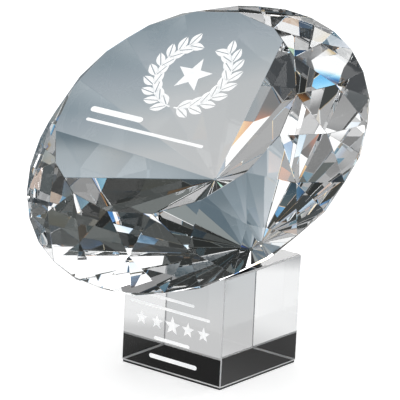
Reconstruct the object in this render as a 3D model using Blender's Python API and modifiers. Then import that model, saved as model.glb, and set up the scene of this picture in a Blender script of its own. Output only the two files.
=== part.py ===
"""Crystal award: a brilliant-cut glass diamond, bonded by one pavilion facet to the top of a glass block.

Run with: blender --background --python part.py
Metres, +Z up. The origin is at the middle of the underside, and the front of the award faces -Y.
"""
import math

import bmesh
import bpy
from mathutils import Matrix, Vector

# Block: a glass cuboid with polished bevels
BLOCK_SIDE = 0.050
BLOCK_HEIGHT = 0.0443
BLOCK_BEVEL = 0.0004

# Black sheet that covers the block's underside, inside its bevels
SHEET_THICKNESS = 0.0008

# Adhesive film that holds the diamond on the block
FILM_THICKNESS = 0.0004
FILM_MARGIN = 0.0003

# Gap kept between pieces that lie face to face
CLEARANCE = 0.0003

# Diamond: how many main facets it has, and its proportions
MAINS = 16
GIRDLE_RADIUS = 0.0719
GIRDLE_THICKNESS = 0.0004
TABLE_RADIUS = 0.0509
CROWN_HEIGHT = 0.0219
STAR_RADIUS = 0.0625
PAVILION_ANGLE = math.radians(40.5)

# Where the culet stands, behind the middle of the block's top
CULET_Y = 0.0242

STEP_ANGLE = 2 * math.pi / MAINS
HALF_STEP = STEP_ANGLE / 2
CROWN_SLOPE = CROWN_HEIGHT / (GIRDLE_RADIUS - TABLE_RADIUS)
PAVILION_DEPTH = GIRDLE_RADIUS * math.tan(PAVILION_ANGLE)
SHEET_SIDE = BLOCK_SIDE - 2 * BLOCK_BEVEL
BLOCK_BOTTOM = SHEET_THICKNESS + CLEARANCE
BLOCK_TOP = BLOCK_BOTTOM + BLOCK_HEIGHT
FILM_BOTTOM = BLOCK_TOP + CLEARANCE
DIAMOND_BOTTOM = FILM_BOTTOM + FILM_THICKNESS + CLEARANCE

GLASS_COLOUR = (0.93, 0.96, 0.97, 1.0)
FILM_COLOUR = (0.86, 0.89, 0.90, 1.0)
BLACK_COLOUR = (0.015, 0.018, 0.024, 1.0)


def clear_scene():
    for obj in list(bpy.data.objects):
        bpy.data.objects.remove(obj, do_unlink=True)


def make_collection(name):
    collection = bpy.data.collections.new(name)
    bpy.context.scene.collection.children.link(collection)
    return collection


def make_material(name, colour, roughness, transmission=0.0):
    material = bpy.data.materials.new(name)
    material.use_nodes = True
    shader = material.node_tree.nodes["Principled BSDF"]
    shader.inputs["Base Color"].default_value = colour
    shader.inputs["Roughness"].default_value = roughness
    shader.inputs["Metallic"].default_value = 0.0
    shader.inputs["Transmission Weight"].default_value = transmission
    return material


def add_object(name, bm, material, collection):
    """Turns a closed bmesh into a named object of the collection."""
    bmesh.ops.recalc_face_normals(bm, faces=bm.faces)
    mesh = bpy.data.meshes.new(name)
    bm.to_mesh(mesh)
    bm.free()
    mesh.materials.append(material)
    obj = bpy.data.objects.new(name, mesh)
    collection.objects.link(obj)
    return obj


def box_mesh(size_x, size_y, size_z):
    """A box that stands on z = 0, centred on the Z axis."""
    bm = bmesh.new()
    bmesh.ops.create_cube(bm, size=1.0)
    bmesh.ops.scale(bm, vec=(size_x, size_y, size_z), verts=bm.verts)
    bmesh.ops.translate(bm, vec=(0, 0, size_z / 2), verts=bm.verts)
    return bm


def cut_away(bm, point, normal):
    """Takes off everything on the side of a plane that its normal points to, and closes the cut."""
    geometry = list(bm.verts) + list(bm.edges) + list(bm.faces)
    bmesh.ops.bisect_plane(
        bm, geom=geometry, dist=1e-7, plane_co=point, plane_no=normal, clear_outer=True
    )
    rim = [edge for edge in bm.edges if edge.is_boundary]
    if rim:
        bmesh.ops.contextual_create(bm, geom=rim)


def grind(bm, a, b, c):
    """Grinds a facet through three points, leaving the side that holds the diamond's axis."""
    normal = (b - a).cross(c - a).normalized()
    if normal.dot(a) < 0:
        normal = -normal
    cut_away(bm, a, normal)


def on_ring(radius, azimuth, height):
    """A point of the upright diamond, with its azimuth counted from the front, -Y."""
    return Vector((radius * math.sin(azimuth), -radius * math.cos(azimuth), height))


def star_point(azimuth):
    """Where a star facet meets the two crown mains beside it."""
    run = GIRDLE_RADIUS - STAR_RADIUS * math.cos(HALF_STEP)
    return on_ring(STAR_RADIUS, azimuth, GIRDLE_THICKNESS + CROWN_SLOPE * run)


def cut_crown_section(bm, azimuth):
    """One main, from a table corner to the girdle, with a star and the two upper halves beside it."""
    table_height = GIRDLE_THICKNESS + CROWN_HEIGHT
    corner = on_ring(TABLE_RADIUS, azimuth, table_height)
    next_corner = on_ring(TABLE_RADIUS, azimuth + STEP_ANGLE, table_height)
    tip = on_ring(GIRDLE_RADIUS, azimuth, GIRDLE_THICKNESS)
    stars = [star_point(azimuth - HALF_STEP), star_point(azimuth + HALF_STEP)]
    grind(bm, corner, stars[0], stars[1])
    grind(bm, corner, next_corner, stars[1])
    for side, star in zip((-1, 1), stars):
        edge = on_ring(GIRDLE_RADIUS, azimuth + side * HALF_STEP, GIRDLE_THICKNESS)
        grind(bm, tip, edge, star)


def cut_pavilion_main(bm, azimuth):
    """One pavilion facet, a long triangle from the culet to the girdle."""
    culet = Vector((0, 0, -PAVILION_DEPTH))
    tip = on_ring(GIRDLE_RADIUS, azimuth, 0)
    across = on_ring(GIRDLE_RADIUS, azimuth + math.pi / 2, 0)
    grind(bm, culet, tip, tip + across)


def diamond_mesh():
    """A round blank, ground facet by facet. Its axis is Z, and its girdle's lower edge is at z = 0."""
    bm = bmesh.new()
    height = CROWN_HEIGHT + GIRDLE_THICKNESS + PAVILION_DEPTH
    bmesh.ops.create_cone(
        bm,
        cap_ends=True,
        segments=2 * MAINS,
        radius1=GIRDLE_RADIUS,
        radius2=GIRDLE_RADIUS,
        depth=height,
        matrix=Matrix.Translation((0, 0, height / 2 - PAVILION_DEPTH)),
    )
    for i in range(MAINS):
        cut_crown_section(bm, i * STEP_ANGLE)
        cut_pavilion_main(bm, i * STEP_ANGLE)
    return bm


def diamond_placement():
    """Leans the diamond forward until its front pavilion main lies flat, culet at the back of the block."""
    culet_at_origin = Matrix.Translation((0, 0, PAVILION_DEPTH))
    lean = Matrix.Rotation(PAVILION_ANGLE, 4, "X")
    stand = Matrix.Translation((0, CULET_Y, DIAMOND_BOTTOM))
    return stand @ lean @ culet_at_origin


def film_mesh():
    """The film fills the contact: the resting facet's triangle, cut off at the block's front bevel."""
    front = -(BLOCK_SIDE / 2 - BLOCK_BEVEL)
    length = CULET_Y - front
    spread = math.atan(math.cos(PAVILION_ANGLE) * math.tan(HALF_STEP))
    bm = box_mesh(2 * length * math.tan(spread), length - FILM_MARGIN, FILM_THICKNESS)
    bmesh.ops.translate(bm, vec=(0, front + (length + FILM_MARGIN) / 2, 0), verts=bm.verts)
    culet = Vector((0, CULET_Y, 0))
    for side in (-1, 1):
        normal = Vector((side * math.cos(spread), math.sin(spread), 0))
        cut_away(bm, culet - FILM_MARGIN * normal, normal)
    return bm


def make_block(material, collection):
    bm = box_mesh(BLOCK_SIDE, BLOCK_SIDE, BLOCK_HEIGHT)
    block = add_object("crystal_block", bm, material, collection)
    block.location.z = BLOCK_BOTTOM
    bevel = block.modifiers.new("polished_bevels", "BEVEL")
    bevel.width = BLOCK_BEVEL
    bevel.segments = 1
    return block


def make_award():
    clear_scene()
    parts = make_collection("crystal_award")
    glass = make_material("optical_glass", GLASS_COLOUR, 0.02, transmission=1.0)
    cured_film = make_material("cured_adhesive", FILM_COLOUR, 0.1, transmission=1.0)
    black = make_material("black_sheet", BLACK_COLOUR, 0.3)

    sheet = box_mesh(SHEET_SIDE, SHEET_SIDE, SHEET_THICKNESS)
    add_object("black_underside", sheet, black, parts)
    make_block(glass, parts)
    film = add_object("adhesive_film", film_mesh(), cured_film, parts)
    film.location.z = FILM_BOTTOM
    diamond = add_object("diamond", diamond_mesh(), glass, parts)
    diamond.matrix_world = diamond_placement()


make_award()
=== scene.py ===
import math

import bmesh
import bpy
from mathutils import Matrix, Vector


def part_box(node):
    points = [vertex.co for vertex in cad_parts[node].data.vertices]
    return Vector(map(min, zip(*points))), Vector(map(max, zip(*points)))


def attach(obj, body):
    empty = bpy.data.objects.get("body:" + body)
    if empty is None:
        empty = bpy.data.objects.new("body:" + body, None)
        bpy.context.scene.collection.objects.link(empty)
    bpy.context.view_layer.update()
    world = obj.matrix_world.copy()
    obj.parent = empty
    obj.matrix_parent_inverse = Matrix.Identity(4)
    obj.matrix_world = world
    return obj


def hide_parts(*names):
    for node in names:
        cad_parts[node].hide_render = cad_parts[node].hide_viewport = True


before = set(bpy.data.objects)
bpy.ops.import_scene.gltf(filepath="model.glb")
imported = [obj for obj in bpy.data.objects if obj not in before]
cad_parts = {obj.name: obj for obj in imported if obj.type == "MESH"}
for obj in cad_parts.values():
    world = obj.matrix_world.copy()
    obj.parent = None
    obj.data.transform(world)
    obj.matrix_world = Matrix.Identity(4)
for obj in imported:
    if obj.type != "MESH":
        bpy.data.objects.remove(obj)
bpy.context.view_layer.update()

# The crystal award's looks. Lengths are in metres and angles in radians, where nothing else is said.

# Camera: three-quarter view from the right of the front, a little above, with a slight roll.
# Its lens and sensor are in millimetres.
CAMERA_AZIMUTH = math.radians(37.37)
CAMERA_ELEVATION = math.radians(15.69)
CAMERA_ROLL = math.radians(2.76)
CAMERA_AIM = (-0.01597, 0.00989, 0.06251)
CAMERA_DISTANCE = 1.282
CAMERA_LENS = 286.3
CAMERA_SENSOR = 36
CAMERA_REACH = 50

GLASS_IOR = 1.52
LIGHT_BOUNCES = 32

# Mesh work: the diamond's polished edges, the bond, and how alike two points or facets are
EDGE_POLISH = 0.00012
FILM_THICKNESS = 0.0004
WELD_DISTANCE = 1e-6
CUT_DISTANCE = 1e-7
SAME_HEIGHT = 1e-5
ONE_FACET = math.radians(0.3)
SQUARE_TO_AXES = 0.95

scene = bpy.context.scene


# ---------------------------------------------------------------- materials
# Most of a noise pattern's values lie between these two.
NOISE_LOW = 0.3
NOISE_HIGH = 0.7


def new_material(name):
    """A material, its node tree and its main shader."""
    material = bpy.data.materials.new(name)
    material.use_nodes = True
    return material, material.node_tree, material.node_tree.nodes["Principled BSDF"]


def glass_material(name, colour, clearer):
    """Polished optical glass: its tint drifts a little, and its polish is very faintly wavy."""
    material, tree, shader = new_material(name)
    drift = noise(tree, scale=22, detail=2)
    tree.links.new(ramp_between(tree, drift, colour, clearer), shader.inputs["Base Color"])
    shader.inputs["Roughness"].default_value = 0.0
    shader.inputs["IOR"].default_value = GLASS_IOR
    shader.inputs["Transmission Weight"].default_value = 1.0
    add_bump(tree, shader, noise(tree, scale=60, detail=1), strength=0.04, distance=0.0002)
    return material


def contact_material():
    """Where two faces meet in the adhesive no surface is left, so light goes straight on."""
    material, tree, shader = new_material("optical_contact")
    tree.nodes.remove(shader)
    clear = tree.nodes.new("ShaderNodeBsdfTransparent")
    tree.links.new(clear.outputs["BSDF"], tree.nodes["Material Output"].inputs["Surface"])
    return material


def noise(tree, scale, detail):
    """A noise pattern that stays with its object."""
    place = tree.nodes.new("ShaderNodeTexCoord")
    node = tree.nodes.new("ShaderNodeTexNoise")
    node.inputs["Scale"].default_value = scale
    node.inputs["Detail"].default_value = detail
    tree.links.new(place.outputs["Object"], node.inputs["Vector"])
    return node.outputs["Fac"]


def ramp_between(tree, value, low, high):
    """A colour between two, by a noise value."""
    ramp = tree.nodes.new("ShaderNodeValToRGB")
    ramp.color_ramp.elements[0].color = low
    ramp.color_ramp.elements[1].color = high
    ramp.color_ramp.elements[0].position = NOISE_LOW
    ramp.color_ramp.elements[1].position = NOISE_HIGH
    tree.links.new(value, ramp.inputs["Fac"])
    return ramp.outputs["Color"]


def range_between(tree, value, low, high):
    """A number between two, by a noise value."""
    node = tree.nodes.new("ShaderNodeMapRange")
    node.inputs["From Min"].default_value = NOISE_LOW
    node.inputs["From Max"].default_value = NOISE_HIGH
    node.inputs["To Min"].default_value = low
    node.inputs["To Max"].default_value = high
    tree.links.new(value, node.inputs["Value"])
    return node.outputs["Result"]


def add_bump(tree, shader, height, strength, distance):
    """Makes a surface uneven by a noise value."""
    bump = tree.nodes.new("ShaderNodeBump")
    bump.inputs["Strength"].default_value = strength
    bump.inputs["Distance"].default_value = distance
    tree.links.new(height, bump.inputs["Height"])
    tree.links.new(bump.outputs["Normal"], shader.inputs["Normal"])


def lacquer_material(name, specular):
    """Black lacquer. Under the glass it has no surface of its own, so it mirrors nothing there."""
    material, tree, shader = new_material(name)
    clouds = noise(tree, scale=90, detail=3)
    grains = noise(tree, scale=2200, detail=2)
    colour = ramp_between(tree, clouds, (0.0025, 0.003, 0.0045, 1), (0.0045, 0.005, 0.007, 1))
    tree.links.new(colour, shader.inputs["Base Color"])
    tree.links.new(range_between(tree, grains, 0.38, 0.60), shader.inputs["Roughness"])
    shader.inputs["Specular IOR Level"].default_value = specular
    add_bump(tree, shader, grains, strength=0.25, distance=0.00003)
    return material


def ground_edge_material():
    """The narrow ground chamfers of the block: matt, half-clear glass."""
    material, tree, shader = new_material("ground_edge")
    grains = noise(tree, scale=3000, detail=2)
    colour = ramp_between(tree, grains, (0.78, 0.79, 0.80, 1), (0.92, 0.93, 0.94, 1))
    tree.links.new(colour, shader.inputs["Base Color"])
    tree.links.new(range_between(tree, grains, 0.4, 0.6), shader.inputs["Roughness"])
    shader.inputs["IOR"].default_value = GLASS_IOR
    shader.inputs["Transmission Weight"].default_value = 0.5
    add_bump(tree, shader, grains, strength=0.3, distance=0.00004)
    return material


def frosted_and_glowing_material():
    """Sandblasted glass: white, with a fine sparkle of grains and a cloudy depth, and a faint
    painted glow that keeps it white.
    """
    material, tree, shader = new_material("sandblasted_glass_and_painted_glow")
    clouds = noise(tree, scale=260, detail=3)
    grains = noise(tree, scale=5200, detail=2)
    colour = ramp_between(tree, clouds, (0.88, 0.90, 0.91, 1), (1.0, 1.0, 1.0, 1))
    tree.links.new(colour, shader.inputs["Base Color"])
    # Painted glow: the marks give off a little light of their own, so they stay white.
    tree.links.new(colour, shader.inputs["Emission Color"])
    shader.inputs["Emission Strength"].default_value = 0.15
    tree.links.new(range_between(tree, grains, 0.55, 0.85), shader.inputs["Roughness"])
    add_bump(tree, shader, grains, strength=0.5, distance=0.00005)
    return material


# ---------------------------------------------------------------- geometry
def new_object(name, bm, materials, node=None):
    """Makes a piece of the award from a mesh under construction, and hides the CAD node that it
    stands for.
    """
    mesh = bpy.data.meshes.new(name)
    bm.to_mesh(mesh)
    bm.free()
    for material in materials:
        mesh.materials.append(material)
    obj = bpy.data.objects.new(name, mesh)
    scene.collection.objects.link(obj)
    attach(obj, "root")
    if node:
        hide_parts(node)


def facets_of(node):
    """A copy of a CAD node as whole facets, not triangles."""
    bm = bmesh.new()
    bm.from_mesh(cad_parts[node].data)
    bmesh.ops.remove_doubles(bm, verts=bm.verts, dist=WELD_DISTANCE)
    bmesh.ops.dissolve_limit(bm, angle_limit=ONE_FACET, verts=bm.verts, edges=bm.edges)
    bmesh.ops.recalc_face_normals(bm, faces=bm.faces)
    return bm


def shift(bm, z):
    """Moves a whole mesh up."""
    bmesh.ops.translate(bm, vec=(0, 0, z), verts=bm.verts)


def polish_edges(bm, width):
    """Gives every edge a narrow flat, as polishing does."""
    bmesh.ops.bevel(
        bm,
        geom=list(bm.edges),
        offset=width,
        offset_type="OFFSET",
        segments=1,
        profile=0.5,
        affect="EDGES",
        clamp_overlap=True,
    )


def lowest_face(bm):
    """The face at the bottom that looks down."""
    return min(bm.faces, key=lambda f: f.calc_center_median().z + f.normal.z)


def highest_face(bm):
    """The face at the top that looks up."""
    return max(bm.faces, key=lambda f: f.calc_center_median().z + f.normal.z)


def film_outline(z):
    """The film's corners, in order, at a height."""
    bm = facets_of("adhesive_film")
    face = highest_face(bm)
    corners = [Vector((v.co.x, v.co.y, z)) for v in face.verts]
    bm.free()
    return corners


def imprint(bm, face, corners, material_index):
    """Splits a flat face along a convex outline, and gives the part inside its own material."""
    middle = sum(corners, Vector()) / len(corners)
    up = Vector((0, 0, 1))
    sides = [(a, (b - a).cross(up)) for a, b in zip(corners, corners[1:] + corners[:1])]
    faces = [face]
    for corner, across in sides:
        geometry = set(faces)
        for f in faces:
            geometry |= set(f.edges) | set(f.verts)
        result = bmesh.ops.bisect_plane(
            bm,
            geom=list(geometry),
            dist=CUT_DISTANCE,
            plane_co=corner,
            plane_no=across.normalized(),
        )
        faces = [f for f in result["geom"] if isinstance(f, bmesh.types.BMFace)]
    for f in faces:
        centre = f.calc_center_median()
        if all((centre - c).dot(across) * (middle - c).dot(across) > 0 for c, across in sides):
            f.material_index = material_index


crystal = glass_material("optical_crystal", (0.975, 0.985, 0.99, 1), (0.99, 0.995, 1.0, 1))
adhesive = glass_material("clear_adhesive", (0.94, 0.96, 0.96, 1), (0.97, 0.98, 0.98, 1))
contact = contact_material()
lacquer = lacquer_material("black_lacquer", 0.5)
lacquer_under_glass = lacquer_material("black_lacquer_under_glass", 0.0)
ground_edge = ground_edge_material()

sheet_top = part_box("black_underside")[1].z
block_low, block_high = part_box("crystal_block")
gem_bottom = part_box("diamond")[0].z
film_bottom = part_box("adhesive_film")[0].z
film_top = film_bottom + FILM_THICKNESS


def make_diamond():
    """The diamond, let down onto the film, with the film's outline as its contact face."""
    bm = facets_of("diamond")
    shift(bm, film_top - gem_bottom)
    polish_edges(bm, EDGE_POLISH)
    imprint(bm, lowest_face(bm), film_outline(film_top), 1)
    new_object("diamond_crystal", bm, [crystal, contact], "diamond")


def make_block():
    """The block, which reaches from the black sheet to the film, with its ground chamfers."""
    bm = facets_of("crystal_block")
    for v in bm.verts:
        if abs(v.co.z - block_high.z) < SAME_HEIGHT:
            v.co.z = film_bottom
        if abs(v.co.z - block_low.z) < SAME_HEIGHT:
            v.co.z = sheet_top
    lowest_face(bm).material_index = 3
    imprint(bm, highest_face(bm), film_outline(film_bottom), 1)
    for f in bm.faces:
        if max(abs(f.normal.x), abs(f.normal.y), abs(f.normal.z)) < SQUARE_TO_AXES:
            f.material_index = 2
    materials = [crystal, contact, ground_edge, lacquer_under_glass]
    new_object("block_crystal", bm, materials, "crystal_block")


def make_film():
    """The layer of adhesive, with a contact face above and below."""
    bm = bmesh.new()
    corners = film_outline(film_bottom)
    face = bm.faces.new([bm.verts.new(c) for c in corners])
    grown = bmesh.ops.extrude_face_region(bm, geom=[face])
    verts = [v for v in grown["geom"] if isinstance(v, bmesh.types.BMVert)]
    bmesh.ops.translate(bm, vec=(0, 0, FILM_THICKNESS), verts=verts)
    bmesh.ops.recalc_face_normals(bm, faces=bm.faces)
    for f in bm.faces:
        if abs(f.normal.z) > SQUARE_TO_AXES:
            f.material_index = 1
    new_object("bond_film", bm, [adhesive, contact], "adhesive_film")


def make_sheet():
    """The black layer, whose top is seen only through the glass."""
    bm = facets_of("black_underside")
    highest_face(bm).material_index = 1
    materials = [lacquer, lacquer_under_glass]
    new_object("lacquered_underside", bm, materials, "black_underside")


# ---------------------------------------------------------------- sandblasted ornaments
# Each is let into a polished face by MARK_DEPTH and stands MARK_HEIGHT proud of it.
MARK_DEPTH = 0.00003
MARK_HEIGHT = 0.00005

# Wreath and star on the table. Angles run along a branch from the wreath's foot.
WREATH_CENTRE = (-0.002, 0.0175)
WREATH_RADIUS = 0.0165
WREATH_LEAVES = 9
WREATH_GAP = math.radians(24)
BRANCH_WIDTH = 0.0006
BRANCH_START = 0.06
BRANCH_STEPS = 28
FIRST_LEAF = 0.16
LEAF_SHORTFALL = 0.10
LEAF_LEAN = 0.62
LEAF_LENGTH = 0.0072
LEAF_WIDTH = 0.0034
LEAF_RIB = 0.07
LEAF_STEPS = 10
STAR_POINTS = 5
STAR_RADIUS = 0.0085
STAR_INNER = 0.42

# Row of stars on the block's front: the middle one is larger.
ROW_HEIGHT = 0.0200
ROW_STEP = 0.0078
ROW_RADIUS = 0.0032
ROW_MIDDLE_RADIUS = 0.0040

# Bars: centre across and up the face, width, height
RULE_END_STEPS = 8
TABLE_RULES = (
    (-0.0235, -0.0080, 0.0260, 0.0026),
    (-0.0065, -0.0132, 0.0580, 0.0014),
)
FRONT_RULES = (
    (-0.0050, 0.0305, 0.031, 0.0012),
    (-0.0015, 0.0262, 0.040, 0.0012),
    (0, 0.0132, 0.018, 0.0014),
    (0.0010, 0.0054, 0.024, 0.0018),
)


def leaf_half(side):
    """Half of a pointed leaf along +X, beside a thin midrib."""
    rib = LEAF_WIDTH * LEAF_RIB
    points = []
    for i in range(LEAF_STEPS + 1):
        t = i / LEAF_STEPS
        away = rib + LEAF_WIDTH / 2 * math.sin(math.pi * t)
        points.append(Vector((t * LEAF_LENGTH, side * away)))
    return points


def polar(centre, reach, angle):
    """A flat point at a distance and an angle from another."""
    return Vector((centre[0] + reach * math.cos(angle), centre[1] + reach * math.sin(angle)))


def star(centre, radius):
    """A star that stands on two of its points."""
    corners = []
    for i in range(2 * STAR_POINTS):
        reach = radius if i % 2 == 0 else radius * STAR_INNER
        corners.append(polar(centre, reach, math.pi / 2 + math.pi * i / STAR_POINTS))
    return corners


def rule(across, up, width, height):
    """A plain bar with round ends."""
    radius = height / 2
    corners = []
    for end in (1, -1):
        for i in range(RULE_END_STEPS + 1):
            angle = -math.pi / 2 + math.pi * i / RULE_END_STEPS
            corners.append(Vector((
                across + end * (width / 2 - radius + radius * math.cos(angle)),
                up + end * radius * math.sin(angle),
            )))
    return corners


def turned(points, angle, place):
    """Points turned about the origin and then moved to a place."""
    c = math.cos(angle)
    s = math.sin(angle)
    return [
        Vector((place[0] + c * p.x - s * p.y, place[1] + s * p.x + c * p.y)) for p in points
    ]


def branch(start, end):
    """A thin arc of the wreath, as a closed outline."""
    outward = WREATH_RADIUS + BRANCH_WIDTH / 2
    inward = WREATH_RADIUS - BRANCH_WIDTH / 2
    angles = [start + (end - start) * i / BRANCH_STEPS for i in range(BRANCH_STEPS + 1)]
    outline = [polar(WREATH_CENTRE, outward, angle) for angle in angles]
    outline += [polar(WREATH_CENTRE, inward, angle) for angle in reversed(angles)]
    return outline


def wreath():
    """Two laurel branches that rise from the bottom and stay open at the top."""
    outlines = []
    foot = -math.pi / 2
    reach = math.pi - WREATH_GAP
    for side in (1, -1):
        outlines.append(branch(foot + side * BRANCH_START, foot + side * reach))
        for i in range(WREATH_LEAVES):
            along = FIRST_LEAF + (reach - LEAF_SHORTFALL) * i / WREATH_LEAVES
            angle = foot + side * along
            stem = polar(WREATH_CENTRE, WREATH_RADIUS, angle)
            for lean in (-LEAF_LEAN, LEAF_LEAN):
                heading = angle + side * (math.pi / 2) + lean
                for half in (1, -1):
                    outlines.append(turned(leaf_half(half), heading, stem))
    return outlines


def make_marks(name, outlines, placement):
    """Thin sandblasted shapes, let into a polished face and just proud of it."""
    bm = bmesh.new()
    for outline in outlines:
        face = bm.faces.new([bm.verts.new((p.x, p.y, -MARK_DEPTH)) for p in outline])
        face.normal_update()
        if face.normal.z < 0:
            face.normal_flip()
        grown = bmesh.ops.extrude_face_region(bm, geom=[face])
        verts = [v for v in grown["geom"] if isinstance(v, bmesh.types.BMVert)]
        bmesh.ops.translate(bm, vec=(0, 0, MARK_DEPTH + MARK_HEIGHT), verts=verts)
    bmesh.ops.transform(bm, matrix=placement, verts=bm.verts)
    bmesh.ops.recalc_face_normals(bm, faces=bm.faces)
    new_object(name, bm, [frosted_and_glowing])


def table_placement():
    """The table's own frame: X level, Y up its slope and Z out of the glass."""
    bm = facets_of("diamond")
    shift(bm, film_top - gem_bottom)
    face = max(bm.faces, key=lambda f: f.calc_area())
    centre = face.calc_center_median()
    out = face.normal.normalized()
    level = Vector((1, 0, 0))
    up = out.cross(level)
    bm.free()
    return Matrix((
        (level.x, up.x, out.x, centre.x),
        (level.y, up.y, out.y, centre.y),
        (level.z, up.z, out.z, centre.z),
        (0, 0, 0, 1),
    ))


def front_placement():
    """The block's front face: X level, Y up and Z out of the glass."""
    return Matrix((
        (1, 0, 0, 0),
        (0, 0, -1, block_low.y),
        (0, 1, 0, sheet_top),
        (0, 0, 0, 1),
    ))


def make_ornaments():
    """A wreath, a star and bars on the table, and stars and bars on the block's front."""
    table = table_placement()
    front = front_placement()
    row = [
        star((ROW_STEP * i, ROW_HEIGHT), ROW_RADIUS if i else ROW_MIDDLE_RADIUS)
        for i in (-2, -1, 0, 1, 2)
    ]
    make_marks("table_wreath", wreath(), table)
    make_marks("table_star", [star(WREATH_CENTRE, STAR_RADIUS)], table)
    make_marks("table_rules", [rule(*values) for values in TABLE_RULES], table)
    make_marks("front_rules", [rule(*values) for values in FRONT_RULES], front)
    make_marks("front_stars", row, front)


frosted_and_glowing = frosted_and_glowing_material()
make_diamond()
make_block()
make_film()
make_sheet()
make_ornaments()


# ---------------------------------------------------------------- studio
# The camera sees a pale floor and a white room. The glass sees another studio instead: a floor
# sweep, light cards and a cluttered room, which give it its blacks, greys, whites and colours.
DAYLIGHT = 1.15
FLOOR_HALF_WIDTH = 3.0
FLOOR_TONE = (0.92, 0.92, 0.92, 1)
FLOOR_LIFT = 0.45

# The sweep has one set of tones behind the award and one in front of it, and turns from the
# front's to the back's between the two Y values of SWEEP_TURN. Tones go by the distance from a
# centre. The soft patches on them are centre, radius, added tone. An added tone below zero darkens
# the sweep, and behind the award one such patch is the diamond's painted shadow.
SWEEP_RADIUS = 4.0
SWEEP_SIDES = 64
SWEEP_DROP = 0.002
SWEEP_TURN = (-0.02, 0.03)
BACK_CENTRE = (0.05, 0, 0)
BACK_TONES = (
    (0.05, (0.62, 0.62, 0.62)),
    (0.10, (0.61, 0.61, 0.61)),
    (0.18, (0.56, 0.58, 0.59)),
    (0.20, (0.42, 0.47, 0.50)),
    (0.22, (0.36, 0.41, 0.45)),
    (0.24, (0.27, 0.33, 0.37)),
    (0.305, (0.18, 0.23, 0.26)),
    (0.42, (0.12, 0.167, 0.20)),
    (0.80, (0.12, 0.16, 0.19)),
    (1.0, (0.28, 0.31, 0.31)),
)
BACK_PATCHES = (
    ((0.022, 0.066), 0.035, 0.25),
    ((-0.09, 0.24), 0.07, 0.20),
    ((-0.19, 0.07), 0.06, 0.35),
    # The diamond's painted shadow on the sweep
    ((-0.112, 0.072), 0.035, -0.50),
)
FRONT_CENTRE = (0, 0, 0)
FRONT_TONES = (
    (0.115, (0.95, 0.95, 0.95)),
    (0.145, (0.25, 0.26, 0.27)),
    (0.17, (0.05, 0.055, 0.06)),
    (0.35, (0.08, 0.085, 0.09)),
    (0.55, (0.14, 0.15, 0.155)),
    (0.65, (0.42, 0.42, 0.42)),
    (0.95, (0.26, 0.26, 0.26)),
    (1.0, (0.45, 0.45, 0.45)),
)
FRONT_PATCHES = (
    ((-0.28, -0.31), 0.08, 0.35),
    ((-0.07, -0.31), 0.04, 0.32),
    ((-0.47, -1.19), 0.35, 0.80),
    ((0.0, -0.055), 0.055, -0.55),
)
PATCH_CORE = 0.4
DARKEST = (0.02, 0.02, 0.02)


def only_in_glass(obj):
    """Hides a studio piece from the camera itself and from soft light. It casts no shadow."""
    obj.visible_camera = False
    obj.visible_diffuse = False
    obj.visible_shadow = False


def make_floor():
    """The pale floor that the camera sees. The glass doesn't see it."""
    bm = bmesh.new()
    bmesh.ops.create_grid(bm, x_segments=1, y_segments=1, size=FLOOR_HALF_WIDTH)
    mesh = bpy.data.meshes.new("floor")
    bm.to_mesh(mesh)
    bm.free()
    material, tree, shader = new_material("pale_floor")
    shader.inputs["Base Color"].default_value = FLOOR_TONE
    shader.inputs["Roughness"].default_value = 0.9
    shader.inputs["Emission Color"].default_value = (1, 1, 1, 1)
    shader.inputs["Emission Strength"].default_value = FLOOR_LIFT
    mesh.materials.append(material)
    obj = bpy.data.objects.new("floor", mesh)
    scene.collection.objects.link(obj)
    obj.visible_transmission = False
    obj.visible_glossy = False


def ground_ramp(tree, centre, tones):
    """A colour that depends on the distance from a point on the ground."""
    nodes, links = tree.nodes, tree.links
    place = nodes.new("ShaderNodeTexCoord")
    away = nodes.new("ShaderNodeVectorMath")
    away.operation = "DISTANCE"
    away.inputs[1].default_value = centre
    ramp = nodes.new("ShaderNodeValToRGB")
    links.new(place.outputs["Object"], away.inputs[0])
    links.new(away.outputs["Value"], ramp.inputs["Fac"])
    stops = ramp.color_ramp.elements
    for stop, (position, colour) in zip(stops, (tones[0], tones[-1])):
        stop.position = position
        stop.color = (*colour, 1)
    for position, colour in tones[1:-1]:
        stop = stops.new(position)
        stop.color = (*colour, 1)
    return ramp.outputs["Color"]


def light_patch(tree, colour, centre, radius, gain):
    """Adds a soft round patch of light or shade to a colour on the ground."""
    nodes, links = tree.nodes, tree.links
    place = nodes.new("ShaderNodeTexCoord")
    away = nodes.new("ShaderNodeVectorMath")
    away.operation = "DISTANCE"
    away.inputs[1].default_value = (*centre, 0)
    fall = nodes.new("ShaderNodeMapRange")
    fall.interpolation_type = "SMOOTHSTEP"
    fall.inputs["From Min"].default_value = radius
    fall.inputs["From Max"].default_value = radius * PATCH_CORE
    fall.inputs["To Max"].default_value = gain
    add = nodes.new("ShaderNodeVectorMath")
    add.operation = "ADD"
    lowest = nodes.new("ShaderNodeVectorMath")
    lowest.operation = "MAXIMUM"
    lowest.inputs[1].default_value = DARKEST
    links.new(place.outputs["Object"], away.inputs[0])
    links.new(away.outputs["Value"], fall.inputs["Value"])
    links.new(colour, add.inputs[0])
    links.new(fall.outputs["Result"], add.inputs[1])
    links.new(add.outputs["Vector"], lowest.inputs[0])
    return lowest.outputs["Vector"]


def sweep_colour(tree, centre, tones, patches):
    """The sweep on one side of the award: its ramp, with its patches one after another."""
    colour = ground_ramp(tree, centre, tones)
    for place, radius, gain in patches:
        colour = light_patch(tree, colour, place, radius, gain)
    return colour


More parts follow.
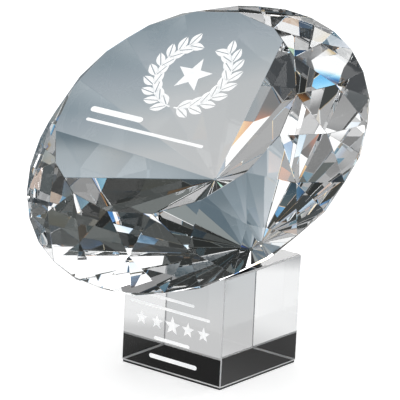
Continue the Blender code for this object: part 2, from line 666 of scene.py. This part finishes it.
def make_sweep():
    """What the glass sees below it: light near the award, slate grey behind and dark in front."""
    bm = bmesh.new()
    bmesh.ops.create_circle(bm, cap_ends=True, segments=SWEEP_SIDES, radius=SWEEP_RADIUS)
    mesh = bpy.data.meshes.new("sweep")
    bm.to_mesh(mesh)
    bm.free()
    material, tree, shader = new_material("sweep")
    nodes, links = tree.nodes, tree.links
    nodes.remove(shader)
    back = sweep_colour(tree, BACK_CENTRE, BACK_TONES, BACK_PATCHES)
    front = sweep_colour(tree, FRONT_CENTRE, FRONT_TONES, FRONT_PATCHES)
    place = nodes.new("ShaderNodeTexCoord")
    axes = nodes.new("ShaderNodeSeparateXYZ")
    side = nodes.new("ShaderNodeMapRange")
    side.interpolation_type = "SMOOTHSTEP"
    side.inputs["From Min"].default_value = SWEEP_TURN[0]
    side.inputs["From Max"].default_value = SWEEP_TURN[1]
    mix = nodes.new("ShaderNodeMix")
    mix.data_type = "RGBA"
    links.new(place.outputs["Object"], axes.inputs["Vector"])
    links.new(axes.outputs["Y"], side.inputs["Value"])
    links.new(side.outputs["Result"], mix.inputs["Factor"])
    links.new(front, mix.inputs["A"])
    links.new(back, mix.inputs["B"])
    glow = nodes.new("ShaderNodeEmission")
    links.new(mix.outputs["Result"], glow.inputs["Color"])
    links.new(glow.outputs["Emission"], nodes["Material Output"].inputs["Surface"])
    mesh.materials.append(material)
    obj = bpy.data.objects.new("sweep", mesh)
    scene.collection.objects.link(obj)
    obj.location.z = -SWEEP_DROP
    only_in_glass(obj)


# Light cards and dark flags round the award: azimuth from the back (+Y) towards the right (+X),
# elevation, width and height in degrees, tone, and how far its colours spread, which is 1 where
# it isn't given. A later one stands nearer and covers an earlier one.
STUDIO_CARDS = (
    (-104, 53, 40, 34, 0.12),
    (-43, 16, 44, 16, 3.2),
    (-8, 20, 22, 16, 0.03),
    (-24, 0, 16, 5, 0.33),
    (100, 82, 70, 34, 0.035),
    (155, 40, 54, 30, 0.03),
    (118, 42, 52, 52, 0.078),
    (136, 50, 5, 12, 0.025),
    (142, 67, 9, 6, 0.03),
    (120, 70, 10, 10, 0.17),
    (96, 40, 12, 24, 0.14),
    (56, 57, 7, 14, 0.30),
    (72.5, 48, 14, 28, 1.25, 0.25),
    (74, 64, 4, 5, 1.25, 0.25),
    (112, 60, 4, 3, 0.48),
    (69, 7, 6, 6, 0.45),
    (30, 29, 9, 6, 0.31),
    (26, 34, 7, 4, 0.06),
    (-160, 13, 42, 24, 0.43),
    (-142, 7, 14, 18, 0.06),
    (-150, 9, 7, 8, 0.03),
    (-156, 27, 7, 7, 0.07),
    (-151, 18, 4, 4, 0.90),
    (-170, 29, 16, 8, 1.20),
    (-172, 14, 7, 5, 1.10),
    (-161, 2, 7, 11, 0.70),
    (174, 24, 14, 16, 0.44),
    (179, 26, 5, 4, 0.22),
    (154, 6, 18, 13, 1.15),
    (165, 13, 5, 4, 1.30),
    (169.5, 14, 5, 5, 0.07),
    (166, 17.5, 6, 4, 0.02),
    (160, 37, 8, 8, 0.65),
    (138, 11, 10, 6, 0.50),
    (130, 22, 10, 10, 0.10),
    (107, 24, 8, 6, 1.10),
    (123.5, 54, 5, 5, 0.02, 0.25),
    (127, 45, 6, 7, 0.02, 0.5),
    (110, 52, 6, 6, 0.025, 0.5),
    (134, 32, 7, 6, 0.02, 0.5),
    (-155.8, 2, 2.8, 2.4, 0.24, 0.25),
    (-158.6, 1.4, 1.6, 1.6, 1.20, 0.25),
    (128.5, 17.5, 2.4, 2.4, 0.50, 0.5),
    (163, 33.5, 3, 3, 0.20, 0.5),
    (139.5, 44, 2.6, 2.6, 0.75),
    (127, 37, 2.6, 2.6, 0.50),
    (123, 17.5, 3, 3, 0.04, 0.5),
    (-151, 7.5, 3, 2.4, 0.16, 0.5),
    (-150.5, 11, 3, 2.6, 1.20, 0.5),
    # Small cards and flags that the front facets mirror
    (154, 6, 3.6, 3, 0.02, 0),
    (-2, 43, 4, 4, 0.02, 0),
    (-157.5, -0.8, 2, 1.6, 0.05, 0),
    (-32.5, 21, 3.6, 3.6, 0.05, 0),
    (-28.5, 12.5, 3, 3, 0.10, 0),
    (-37, 3.3, 8, 3.6, 0.02, 0),
    (29, 46, 3.4, 3.4, 0.02, 0),
    (17.5, 58, 3.4, 3.4, 0.02, 0),
    (142.5, 4, 3, 3, 0.02, 0),
    (75.5, 58.5, 3.4, 3.4, 4.5, 0),
    (128, 13, 3, 3, 2.5, 0),
)

# Each card stands CARD_STEP nearer than the one before. CARD_BLUR is the softness of its edges as
# a share of the distance. A card darker than SHADE_TONE takes SHADE_TINT.
CARD_DISTANCE = 6.0
CARD_STEP = 0.03
CARD_BLUR = 0.007
SHADE_TONE = 0.2
SHADE_TINT = (0.92, 1.0, 0.97, 1)
NO_TINT = (1, 1, 1, 1)

# White light in three parts, which add up to 1 in each channel. COLOUR_SPREAD is how far apart
# they are taken: a share of the distance on a card, and a turn in the room.
COLOUR_SPREAD = 0.010
WARM_PART = (0.65, 0.28, 0.07)
PLAIN_PART = (0.33, 0.53, 0.43)
COLD_PART = (0.02, 0.19, 0.50)

# The room between the cards: a larger scale makes smaller patches. Each tone starts at its value
# of the pattern, so the gap to the next one is its share of the room.
CLUTTER_SCALE = 7.0
CLUTTER_TILT = 0.5
CLUTTER_TONES = ((0.0, 0.02), (0.30, 0.05), (0.55, 0.16), (0.75, 1.1))


def calculate(tree, operation, *values):
    """A math node: each value is a number or another node's output."""
    node = tree.nodes.new("ShaderNodeMath")
    node.operation = operation
    for socket, value in zip(node.inputs, values):
        if isinstance(value, (int, float)):
            socket.default_value = value
        else:
            tree.links.new(value, socket)
    return node.outputs["Value"]


def spread_colours(tree, tone_at):
    """Warm light is taken a little to one side and cold light to the other, as glass spreads them.

    tone_at gives the tone at a shift, so a bright edge takes colour and a flat tone stays grey.
    """
    total = None
    for spread, tint in ((COLOUR_SPREAD, WARM_PART), (0, PLAIN_PART), (-COLOUR_SPREAD, COLD_PART)):
        part = tree.nodes.new("ShaderNodeVectorMath")
        part.operation = "MULTIPLY_ADD"
        part.inputs[1].default_value = tint
        tree.links.new(tone_at(spread), part.inputs[0])
        if total is None:
            part.inputs[2].default_value = (0, 0, 0)
        else:
            tree.links.new(total, part.inputs[2])
        total = part.outputs["Vector"]
    return total


def card_group():
    """The light of one card: its own tone inside a rectangle, and clear outside it."""
    group = bpy.data.node_groups.new("card_light", "ShaderNodeTree")
    for name in ("Half Width", "Half Height", "Tone", "Spread"):
        group.interface.new_socket(name, in_out="INPUT", socket_type="NodeSocketFloat")
    group.interface.new_socket("Tint", in_out="INPUT", socket_type="NodeSocketColor")
    group.interface.new_socket("Light", in_out="OUTPUT", socket_type="NodeSocketShader")
    nodes, links = group.nodes, group.links
    given = nodes.new("NodeGroupInput")
    result = nodes.new("NodeGroupOutput")
    place = nodes.new("ShaderNodeTexCoord")
    axes = nodes.new("ShaderNodeSeparateXYZ")
    links.new(place.outputs["Object"], axes.inputs["Vector"])

    def inside(value, half):
        """1 within half a width of the middle and 0 outside it, with a soft edge."""
        edge = calculate(group, "SUBTRACT", half, calculate(group, "ABSOLUTE", value))
        node = nodes.new("ShaderNodeMapRange")
        node.interpolation_type = "SMOOTHSTEP"
        node.inputs["From Min"].default_value = -CARD_BLUR * CARD_DISTANCE
        node.inputs["From Max"].default_value = CARD_BLUR * CARD_DISTANCE
        links.new(edge, node.inputs["Value"])
        return node.outputs["Result"]

    def mask(spread):
        """The rectangle, taken a little to one side."""
        shift_by = calculate(group, "MULTIPLY", given.outputs["Spread"], spread * CARD_DISTANCE)
        across = calculate(group, "ADD", axes.outputs["X"], shift_by)
        up = calculate(group, "ADD", axes.outputs["Y"], shift_by)
        return calculate(
            group,
            "MULTIPLY",
            inside(across, given.outputs["Half Width"]),
            inside(up, given.outputs["Half Height"]),
        )

    colour = spread_colours(group, mask)
    glow = nodes.new("ShaderNodeEmission")
    clear = nodes.new("ShaderNodeBsdfTransparent")
    rest = nodes.new("ShaderNodeVectorMath")
    rest.operation = "SUBTRACT"
    rest.inputs[0].default_value = (1, 1, 1)
    both = nodes.new("ShaderNodeAddShader")
    tinted = nodes.new("ShaderNodeVectorMath")
    tinted.operation = "MULTIPLY"
    links.new(colour, tinted.inputs[0])
    links.new(given.outputs["Tint"], tinted.inputs[1])
    links.new(tinted.outputs["Vector"], glow.inputs["Color"])
    links.new(given.outputs["Tone"], glow.inputs["Strength"])
    links.new(colour, rest.inputs[1])
    links.new(rest.outputs["Vector"], clear.inputs["Color"])
    links.new(glow.outputs["Emission"], both.inputs[0])
    links.new(clear.outputs["BSDF"], both.inputs[1])
    links.new(both.outputs["Shader"], result.inputs["Light"])
    return group


def make_card(number, group, azimuth, elevation, wide, high, tone, spread=1.0):
    """A card that faces the award, and is seen only in mirror images and through the glass."""
    name = f"studio_card_{number:02d}"
    distance = CARD_DISTANCE - CARD_STEP * number
    half_width = distance * math.tan(math.radians(wide / 2))
    half_height = distance * math.tan(math.radians(high / 2))
    material, tree, shader = new_material(name)
    tree.nodes.remove(shader)
    light = tree.nodes.new("ShaderNodeGroup")
    light.node_tree = group
    light.inputs["Half Width"].default_value = half_width
    light.inputs["Half Height"].default_value = half_height
    light.inputs["Tone"].default_value = tone
    light.inputs["Spread"].default_value = spread
    light.inputs["Tint"].default_value = SHADE_TINT if tone < SHADE_TONE else NO_TINT
    tree.links.new(light.outputs["Light"], tree.nodes["Material Output"].inputs["Surface"])
    margin = 2 * COLOUR_SPREAD * CARD_DISTANCE
    bm = bmesh.new()
    bmesh.ops.create_grid(bm, x_segments=1, y_segments=1, size=1)
    bmesh.ops.scale(bm, vec=(half_width + margin, half_height + margin, 1), verts=bm.verts)
    mesh = bpy.data.meshes.new(name)
    bm.to_mesh(mesh)
    bm.free()
    mesh.materials.append(material)
    obj = bpy.data.objects.new(name, mesh)
    scene.collection.objects.link(obj)
    obj.rotation_euler = (math.radians(90 + elevation), 0, -math.radians(azimuth))
    obj.location = direction(azimuth, elevation) * distance + Vector((0, 0, gem_bottom))
    only_in_glass(obj)


def direction(azimuth, elevation):
    """A unit vector from angles in degrees."""
    a = math.radians(azimuth)
    e = math.radians(elevation)
    return Vector((math.sin(a) * math.cos(e), math.cos(a) * math.cos(e), math.sin(e)))


def clutter_colour(tree):
    """The room between the cards: patches of dark, grey and white."""

    def tone_at(spread):
        """The pattern, turned a little."""
        place = tree.nodes.new("ShaderNodeTexCoord")
        rotated = tree.nodes.new("ShaderNodeMapping")
        rotated.inputs["Rotation"].default_value = (CLUTTER_TILT * spread, 0, spread)
        cells = tree.nodes.new("ShaderNodeTexVoronoi")
        cells.inputs["Scale"].default_value = CLUTTER_SCALE
        channel = tree.nodes.new("ShaderNodeSeparateColor")
        ramp = tree.nodes.new("ShaderNodeValToRGB")
        ramp.color_ramp.interpolation = "CONSTANT"
        stops = ramp.color_ramp.elements
        stops.remove(stops[1])
        for position, tone in CLUTTER_TONES:
            stop = stops[0] if position == 0 else stops.new(position)
            stop.color = (tone, tone, tone, 1)
        tree.links.new(place.outputs["Generated"], rotated.inputs["Vector"])
        tree.links.new(rotated.outputs["Vector"], cells.inputs["Vector"])
        tree.links.new(cells.outputs["Color"], channel.inputs["Color"])
        tree.links.new(channel.outputs["Red"], ramp.inputs["Fac"])
        return ramp.outputs["Color"]

    return spread_colours(tree, tone_at)


def make_world():
    """White for the camera and for soft light on the floor, and the cluttered room for the glass."""
    world = bpy.data.worlds.new("studio")
    scene.world = world
    world.use_nodes = True
    tree = world.node_tree
    nodes, links = tree.nodes, tree.links
    nodes.clear()
    out = nodes.new("ShaderNodeOutputWorld")
    path = nodes.new("ShaderNodeLightPath")
    seen = nodes.new("ShaderNodeBackground")
    room = nodes.new("ShaderNodeBackground")
    mix = nodes.new("ShaderNodeMixShader")
    seen.inputs["Strength"].default_value = DAYLIGHT
    links.new(clutter_colour(tree), room.inputs["Color"])
    either = calculate(
        tree, "MAXIMUM", path.outputs["Is Camera Ray"], path.outputs["Is Diffuse Ray"]
    )
    links.new(either, mix.inputs["Fac"])
    links.new(room.outputs["Background"], mix.inputs[1])
    links.new(seen.outputs["Background"], mix.inputs[2])
    links.new(mix.outputs["Shader"], out.inputs["Surface"])


def make_camera():
    """The camera of the photo, which looks at the middle of the award."""
    data = bpy.data.cameras.new("camera")
    data.lens = CAMERA_LENS
    data.sensor_width = CAMERA_SENSOR
    data.clip_end = CAMERA_REACH
    camera = bpy.data.objects.new("camera", data)
    scene.collection.objects.link(camera)
    ahead = Vector((
        -math.sin(CAMERA_AZIMUTH) * math.cos(CAMERA_ELEVATION),
        math.cos(CAMERA_AZIMUTH) * math.cos(CAMERA_ELEVATION),
        -math.sin(CAMERA_ELEVATION),
    ))
    upright = ahead.to_track_quat("-Z", "Y").to_matrix().to_4x4()
    roll = Matrix.Rotation(CAMERA_ROLL, 4, "Z")
    camera.matrix_world = (
        Matrix.Translation(Vector(CAMERA_AIM) - ahead * CAMERA_DISTANCE) @ upright @ roll
    )
    scene.camera = camera


make_floor()
make_sweep()
make_world()
make_camera()
card_light = card_group()
for index, values in enumerate(STUDIO_CARDS):
    make_card(index, card_light, *values)

scene.view_settings.view_transform = "Standard"
scene.cycles.max_bounces = LIGHT_BOUNCES
scene.cycles.transmission_bounces = LIGHT_BOUNCES
scene.cycles.glossy_bounces = LIGHT_BOUNCES
scene.cycles.transparent_max_bounces = LIGHT_BOUNCES
